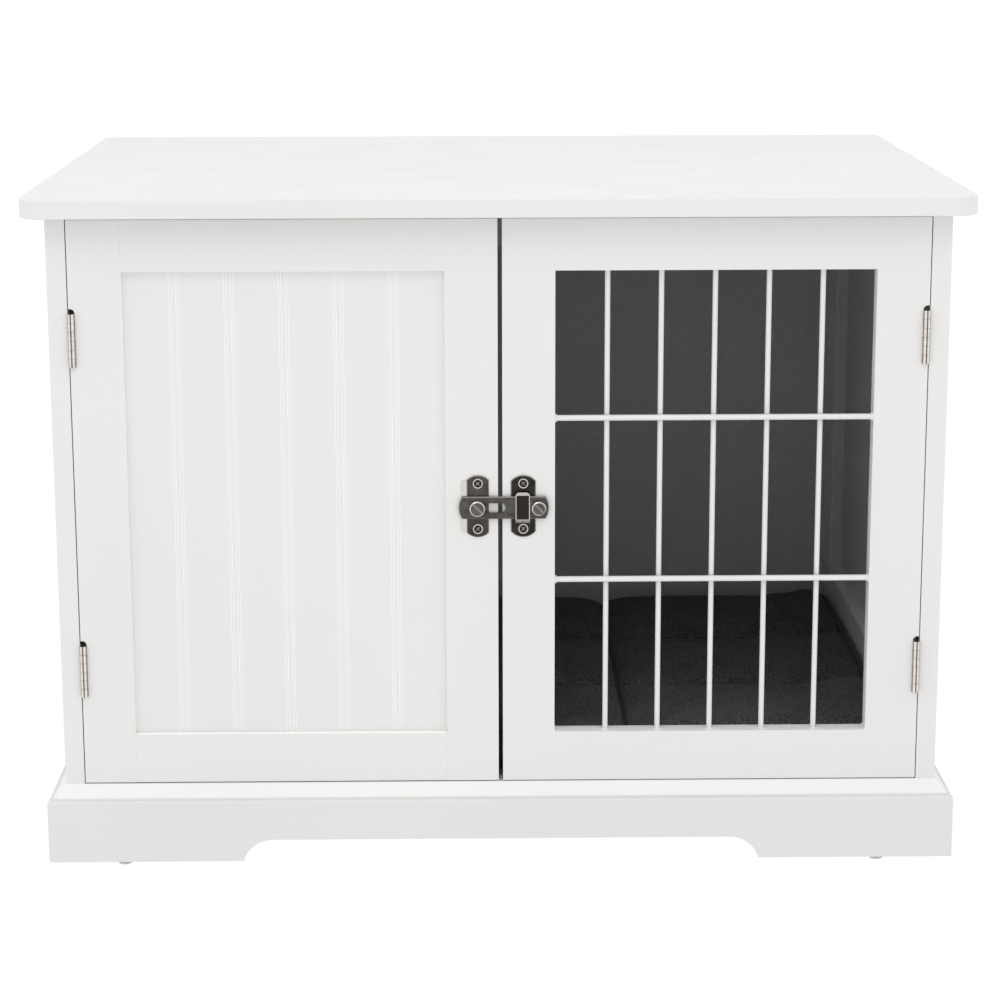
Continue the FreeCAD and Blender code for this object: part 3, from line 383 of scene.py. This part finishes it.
def turned_rings(name):
    """A painted highlight on the rim of a turned head, stronger on its upper side and also smoother, a
    painted diagonal highlight across its face, and the finest marks of the lathe on its face.
    """
    low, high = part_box(name)
    radius = (high.x - low.x) / 2

    def mask(maker):
        away = maker.away((low + high) / 2)
        wave = maker.math("SINE", maker.math("MULTIPLY", away, 2 * math.pi / (0.9 * MM)))
        marks = maker.math("MULTIPLY_ADD", wave, 0.05, 0.05)
        across, _, height = maker.parts_of_place()
        centre = (low + high) / 2
        # Painted highlight: the rim is brighter on its upper side.
        upper = maker.spread(height, 0.3, 1, centre.z - radius * 0.5, centre.z + radius * 0.7)
        ring = maker.math("MULTIPLY", maker.band(away, radius * 0.93, 0.4 * MM), upper)
        # A painted diagonal highlight across the face.
        aside, above = maker.math("SUBTRACT", across, centre.x), maker.math("SUBTRACT", height, centre.z)
        lean = maker.math("ADD", aside, above)
        streak = maker.math("MULTIPLY", maker.band(lean, 0.5 * MM, 1.1 * MM), 0.22)
        return maker.math("MAXIMUM", ring, maker.math("ADD", marks, streak))

    return mask


def wing(maker):
    """The wing that shows at the left of the latch plate: smoother, with a painted highlight."""
    across, _, _ = maker.parts_of_place()
    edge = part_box("latch_plate")[0].x
    return maker.spread(across, 1, 0, edge + 3.9 * MM, edge + 4.0 * MM)


def wing_line(maker):
    """The dark line that the wing mirrors near its left edge."""
    across = maker.parts_of_place()[0]
    return maker.band(across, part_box("latch_plate")[0].x + 0.9 * MM, 0.35 * MM)


def barrel_lines(maker):
    """The dark lines that a hinge barrel mirrors down its middle and along its sides."""
    across, depth, _ = maker.parts_of_place()
    pin_low, pin_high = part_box("right_upper_hinge_pin")
    pin = (pin_low.x + pin_high.x) / 2
    off = maker.math("ABSOLUTE", maker.math("SUBTRACT", maker.math("ABSOLUTE", across), pin))
    front = maker.math("LESS_THAN", depth, DOOR[0].y - 2 * MM)
    middle = maker.math("MULTIPLY", maker.band(off, 0.0, 0.55 * MM), front)
    sides = maker.math("MULTIPLY", maker.band(off, 2.6 * MM, 0.4 * MM), 0.7)
    return maker.math("MULTIPLY", maker.math("MAXIMUM", middle, sides), 0.85)


def moulded_plastic():
    maker = Nodes("glide_plastic")
    speck = maker.noise(900, 3)
    maker.feed(maker.shader.inputs["Base Color"], maker.blend(speck, grey(0.5, 0.02), grey(0.42, 0.02)))
    maker.feed(maker.shader.inputs["Roughness"], maker.spread(speck, 0.4, 0.55))
    maker.feed(maker.shader.inputs["Normal"], maker.bump(speck, 0.03 * MM, 0.5))
    return maker.material


def fleece():
    """Short-pile charcoal fleece: dark and pale fibre tips in tufts of two to three millimetres."""
    maker = Nodes("cushion_fleece")
    tuft = maker.noise(420, 5, 0.65)
    fibre = maker.noise(1500, 3, 0.6)
    patch = maker.noise(26, 3)
    tips = maker.spread(tuft, 0, 1, 0.38, 0.66)
    tips = maker.math("MULTIPLY_ADD", maker.spread(fibre, -0.5, 0.5), 0.45, tips)
    tips = maker.math("MULTIPLY_ADD", maker.spread(patch, -0.5, 0.5), 0.35, tips)
    tips = maker.math("MINIMUM", maker.math("MAXIMUM", tips, 0.0), 1.0)
    colour = maker.blend(tips, (0.031, 0.031, 0.0318, 1), (0.113, 0.113, 0.118, 1))
    across, depth, _ = maker.parts_of_place()
    # Painted shade: the fleece is darkened along the seams and the piping, where the creases are.
    crease_shade = 0.0
    for place, seams in ((across, SEAMS_X), (depth, SEAMS_Y)):
        for seam in seams:
            crease_shade = maker.math("MAXIMUM", crease_shade, maker.band(place, seam, 2.0 * MM))
    middle, half = (CUSHION[0] + CUSHION[1]) / 2, (CUSHION[1] - CUSHION[0]) / 2
    for place, centre, reach in ((across, middle.x, half.x), (depth, middle.y, half.y)):
        off = maker.math("ABSOLUTE", maker.math("SUBTRACT", place, centre))
        crease_shade = maker.math("MAXIMUM", crease_shade, maker.band(off, reach - PIPING, 1.2 * MM))
    colour = maker.blend(maker.math("MULTIPLY", crease_shade, 0.9), colour, (0.018, 0.018, 0.02, 1))
    maker.feed(maker.shader.inputs["Base Color"], colour)
    maker.shader.inputs["Roughness"].default_value = 0.95
    maker.shader.inputs["Specular IOR Level"].default_value = 0.1
    maker.shader.inputs["Sheen Weight"].default_value = 0.12
    maker.shader.inputs["Sheen Roughness"].default_value = 0.5
    maker.shader.inputs["Sheen Tint"].default_value = (0.55, 0.56, 0.6, 1)
    pile = maker.bump(tuft, 0.9 * MM, 0.6)
    maker.feed(maker.shader.inputs["Normal"], maker.bump(fibre, 0.3 * MM, 0.5, pile))
    return maker.material


def make_materials():
    along_x, along_z = (0.06, 1, 1), (1, 1, 0.06)
    gunmetal = ((0.115, 0.108, 0.1, 1), (0.06, 0.056, 0.052, 1), (0.28, 0.42), along_x, 1400)
    screw_steel = ((0.035, 0.033, 0.03, 1), (0.02, 0.018, 0.016, 1), (0.25, 0.4), along_x, 1500)
    return {
        "lined": lacquer("white_lacquer_lined", BACK_LINING),
        # Painted light: the side panels' inner grey is lighter than the back's.
        "side": lacquer("white_lacquer_side", SIDE_LINING_PAINTED_LIGHTER),
        "white": lacquer("white_lacquer", edges=True),
        # Painted shade: the plinth's white is toned down to 0.945 of the white.
        "plinth": lacquer("white_lacquer_plinth", tone=0.945),
        # Painted light: the sill's white is toned up to 1.085 of the white.
        "sill": lacquer("white_lacquer_sill", BACK_LINING, tone=1.085),
        "dark": laminate("inner_laminate", 0.36),
        "batten": laminate("batten_laminate", 0.76),
        # Painted light: the turned faces of the corner battens take a lighter grey than their fronts.
        "corner": laminate("corner_laminate", 0.43, 0.84),
        "wire": wire_paint(),
        "nickel": plated(
            "hinge_nickel", (0.86, 0.81, 0.75, 1), (0.7, 0.64, 0.59, 1), (0.16, 0.3),
            along_z, 900, dark=(barrel_lines,),
        ),
        "bar": plated("bar_gunmetal", *gunmetal, 0.8, bright=(soft_chamfers,)),
        "stud": plated("stud_gunmetal", *gunmetal, bright=(chamfers, turned_rings("latch_stud"))),
        "knob": plated("knob_gunmetal", *gunmetal, bright=(chamfers, turned_rings("latch_knob"))),
        "latch_plate": plated(
            "latch_plate_gunmetal", (0.115, 0.1, 0.09, 1), (0.05, 0.045, 0.042, 1), (0.3, 0.45),
            along_z, 1100, bright=(soft_chamfers, wing), dark=(lower_part("latch_plate"), wing_line),
        ),
        "keeper_plate": plated(
            "keeper_gunmetal", (0.045, 0.041, 0.037, 1), (0.022, 0.02, 0.018, 1), (0.32, 0.45),
            along_z, 1100, bright=(strap_rim,), dark=(strap_face,),
        ),
        "latch_screw": plated(
            "latch_screw_steel", *screw_steel, bright=(chamfers, screw_rings("latch_plate_screws")),
        ),
        "keeper_screw": plated(
            "keeper_screw_steel", *screw_steel, bright=(chamfers, screw_rings("keeper_screws")),
        ),
        "zinc": plated(
            "zinc_steel", (0.6, 0.6, 0.58, 1), (0.45, 0.45, 0.44, 1), (0.3, 0.45), along_z, 700,
        ),
        "glide": moulded_plastic(),
        "fleece": fleece(),
    }


# ---------------------------------------------------------------- CAD nodes


def eased(node, width):
    """Slightly rounded edges on a board, as lacquered edges have. The CAD mesh itself stays as it is."""
    for polygon in node.data.polygons:
        polygon.use_smooth = True
    weld = node.modifiers.new("weld", "WELD")
    weld.merge_threshold = 0.01 * MM
    flatten = node.modifiers.new("flatten", "DECIMATE")
    flatten.decimate_type = "DISSOLVE"
    flatten.angle_limit = math.radians(1)
    bevel = node.modifiers.new("edges", "BEVEL")
    bevel.width = width
    bevel.segments = 3
    bevel.limit_method = "ANGLE"
    bevel.angle_limit = math.radians(35)
    bevel.use_clamp_overlap = True
    normals = node.modifiers.new("normals", "WEIGHTED_NORMAL")
    normals.weight = 80


# The kinds of board that get eased edges, and the width of the easing. The top board has its own in the CAD.
BOARDS = ("lined", "side", "white", "plinth", "sill", "dark", "batten", "corner")
EASING = 0.5 * MM

# The pieces whose material doesn't follow from their name.
SPECIAL = {
    "top_front_rail": "dark",
    "top_back_rail": "dark",
    "left_corner_batten": "corner",
    "right_corner_batten": "corner",
    "floor_glides": "glide",
    "cabinet_screws": "zinc",
    "latch_plate_screws": "latch_screw",
    "keeper_screws": "keeper_screw",
    "latch_bar": "bar",
    "latch_knob": "knob",
    "latch_stud": "stud",
    "latch_plate": "latch_plate",
    "keeper_plate": "keeper_plate",
    "left_side_panel": "side",
    "right_side_panel": "side",
    "back_panel": "lined",
    "floor_panel": "sill",
    "top_board": "lined",
}


def material_for(name):
    if name in SPECIAL:
        return SPECIAL[name]
    if name.startswith("grille_"):
        return "wire"
    if name.startswith("plinth_"):
        return "plinth"
    if name.endswith("_batten"):
        return "batten"
    if name.endswith(("_screws", "_leaf", "_pin")):
        return "nickel"
    return "white"


def finish_cad(materials):
    for name, node in nodes.items():
        if name == "cushion":
            continue
        kind = material_for(name)
        node.data.materials.clear()
        node.data.materials.append(materials[kind])
        if kind in BOARDS and name != "top_board":
            eased(node, EASING)


# ---------------------------------------------------------------- cushion


def rim_distance(across, depth):
    """The distance from a place on the cushion to its nearest edge."""
    low, high = CUSHION
    return min(across - low.x, high.x - across, depth - low.y, high.y - depth)


def seam_distance(across, depth):
    """The distance from a place on the cushion to its nearest seam."""
    return min([abs(across - seam) for seam in SEAMS_X] + [abs(depth - seam) for seam in SEAMS_Y])


def lift(across):
    """How far the pad is raised near its left and right edges."""
    low, high = CUSHION
    near = max(0.0, 1.0 - min(across - low.x, high.x - across) / LIFT_REACH)
    return LIFT * near * near * (3 - 2 * near)


def pad_blank():
    """A rounded quilted slab, a little smaller than the space that its CAD solid holds."""
    low, high = CUSHION
    mesh = bpy.data.meshes.new("cushion_blank")
    shape = bmesh.new()
    middle = (low + high) / 2
    half = (high - low) / 2 - PAD_ROOM

    def rounded(u, v):
        """A point of a rectangle with round corners, for u and v from -1 to 1."""
        x, y = u * half.x, v * half.y
        over_x, over_y = abs(x) - (half.x - PAD_CORNER), abs(y) - (half.y - PAD_CORNER)
        if over_x > 0 and over_y > 0:
            reach = math.hypot(over_x, over_y)
            square = max(over_x, over_y)
            over_x, over_y = over_x * square / reach, over_y * square / reach
            x = math.copysign(half.x - PAD_CORNER + over_x, x)
            y = math.copysign(half.y - PAD_CORNER + over_y, y)
        return middle.x + x, middle.y + y

    sheets = []
    for top in (True, False):
        sheet = []
        for j in range(PAD_ROWS + 1):
            line = []
            for i in range(PAD_COLUMNS + 1):
                u, v = 2 * i / PAD_COLUMNS - 1, 2 * j / PAD_ROWS - 1
                x, y = rounded(u, v)
                full = min(1.0, max(0.0, rim_distance(x, y) / EDGE_REACH)) ** 0.3
                z = low.z + SEAT - (SEAT - 0.5 * MM) * min(1.0, full * 1.35)
                if top:
                    dip = math.exp(-((seam_distance(x, y) / SEAM_REACH) ** 2) * 3.2)
                    z = low.z + SEAT + FULL * full - CREASE * dip + lift(x)
                line.append(shape.verts.new((x, y, z)))
            sheet.append(line)
        sheets.append(sheet)
    for top, sheet in zip((True, False), sheets):
        for j in range(PAD_ROWS):
            for i in range(PAD_COLUMNS):
                face = [sheet[j][i], sheet[j][i + 1], sheet[j + 1][i + 1], sheet[j + 1][i]]
                shape.faces.new(face if top else face[::-1])
    for j in range(PAD_ROWS):
        for i in (0, PAD_COLUMNS):
            face = [sheets[0][j][i], sheets[0][j + 1][i], sheets[1][j + 1][i], sheets[1][j][i]]
            shape.faces.new(face if i == 0 else face[::-1])
    for i in range(PAD_COLUMNS):
        for j in (0, PAD_ROWS):
            face = [sheets[0][j][i], sheets[0][j][i + 1], sheets[1][j][i + 1], sheets[1][j][i]]
            shape.faces.new(face[::-1] if j == 0 else face)
    bmesh.ops.recalc_face_normals(shape, faces=shape.faces)
    shape.to_mesh(mesh)
    shape.free()
    pad = bpy.data.objects.new("quilted_cushion", mesh)
    bpy.context.scene.collection.objects.link(pad)
    return pad


def apply_all(piece):
    """Turn a piece with modifiers into its final mesh."""
    graph = bpy.context.evaluated_depsgraph_get()
    final = bpy.data.meshes.new_from_object(piece.evaluated_get(graph))
    piece.modifiers.clear()
    piece.data = final


def puff(pad):
    """Let the pad swell as cloth with air inside, held along its seams and where it rests."""
    remesh = pad.modifiers.new("remesh", "REMESH")
    remesh.mode = "VOXEL"
    remesh.voxel_size = VOXEL
    apply_all(pad)
    start = [vertex.co.copy() for vertex in pad.data.vertices]
    held = pad.vertex_groups.new(name="held")
    rest = CUSHION[0].z + 2.5 * MM
    for vertex in pad.data.vertices:
        if seam_distance(vertex.co.x, vertex.co.y) < 4 * MM or vertex.co.z < rest:
            held.add([vertex.index], 1.0, "REPLACE")
    cloth = pad.modifiers.new("cloth", "CLOTH")
    settings = cloth.settings
    settings.quality = 5
    settings.mass = 0.3
    settings.tension_stiffness = 12
    settings.compression_stiffness = 12
    settings.shear_stiffness = 6
    settings.bending_stiffness = 0.4
    settings.use_pressure = True
    settings.uniform_pressure_force = 4
    settings.effector_weights.gravity = 0
    settings.vertex_group_mass = "held"
    cloth.point_cache.frame_start = 1
    cloth.point_cache.frame_end = FRAMES
    scene = bpy.context.scene
    for number in range(1, FRAMES + 1):
        scene.frame_set(number)
    apply_all(pad)
    for vertex, before in zip(pad.data.vertices, start):
        move = vertex.co - before
        if move.length > PUFF:
            vertex.co = before + move.normalized() * PUFF
    scene.frame_set(1)


def stitch(pad):
    """Press the narrow seam creases in and smooth the surface with one subdivision."""
    finer = pad.modifiers.new("finer", "SUBSURF")
    finer.levels = 1
    finer.render_levels = 1
    apply_all(pad)
    low, high = CUSHION
    for vertex in pad.data.vertices:
        if vertex.co.z < low.z + SEAT / 2:
            vertex.co.z = max(vertex.co.z, low.z)
            continue
        near = seam_distance(vertex.co.x, vertex.co.y)
        rim = rim_distance(vertex.co.x, vertex.co.y)
        for off, (depth, reach) in ((near, SEAM_PRESS), (rim - PIPING, PIPING_PRESS)):
            vertex.co.z -= depth * math.exp(-((off / reach) ** 2))
    for vertex in pad.data.vertices:
        vertex.co.x = min(max(vertex.co.x, low.x), high.x)
        vertex.co.y = min(max(vertex.co.y, low.y), high.y)
        vertex.co.z = min(vertex.co.z, high.z + 1 * MM)
    for polygon in pad.data.polygons:
        polygon.use_smooth = True


def make_cushion(materials):
    """The quilted pad that stands for the plain CAD solid of the cushion."""
    pad = pad_blank()
    puff(pad)
    stitch(pad)
    pad.data.materials.clear()
    pad.data.materials.append(materials["fleece"])
    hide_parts("cushion")
    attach(pad, "cabinet")


# ---------------------------------------------------------------- studio


def make_floor():
    mesh = bpy.data.meshes.new("studio_floor")
    reach = 30.0
    corners = [(-reach, -reach, 0), (reach, -reach, 0), (reach, reach, 0), (-reach, reach, 0)]
    mesh.from_pydata(corners, [], [(0, 1, 2, 3)])
    floor = bpy.data.objects.new("studio_floor", mesh)
    bpy.context.scene.collection.objects.link(floor)
    maker = Nodes("studio_white")
    maker.shader.inputs["Base Color"].default_value = (0.08, 0.08, 0.08, 1)
    maker.shader.inputs["Roughness"].default_value = 1.0
    maker.shader.inputs["Specular IOR Level"].default_value = 0.0
    maker.shader.inputs["Emission Color"].default_value = (1, 1, 1, 1)
    maker.shader.inputs["Emission Strength"].default_value = 0.96
    mesh.materials.append(maker.material)


def make_light(name, place, target, size, power):
    data = bpy.data.lights.new(name, "AREA")
    data.shape = "RECTANGLE"
    data.size, data.size_y = size
    data.energy = power
    light = bpy.data.objects.new(name, data)
    bpy.context.scene.collection.objects.link(light)
    direction = Vector(target) - Vector(place)
    turn = direction.to_track_quat("-Z", "Y").to_matrix().to_4x4()
    light.matrix_world = Matrix.Translation(place) @ turn


def make_studio():
    scene = bpy.context.scene
    world = bpy.data.worlds.new("studio")
    scene.world = world
    world.use_nodes = True
    background = world.node_tree.nodes["Background"]
    background.inputs["Color"].default_value = (1, 1, 1, 1)
    background.inputs["Strength"].default_value = 1.0
    scene.view_settings.view_transform = "Standard"
    scene.view_settings.look = "None"
    make_light("key", (-0.15, -1.3, 2.1), (0, -0.2, 0.35), (3.0, 1.2), 10.5)
    make_floor()


make_camera()
materials = make_materials()
finish_cad(materials)
make_cushion(materials)
make_studio()
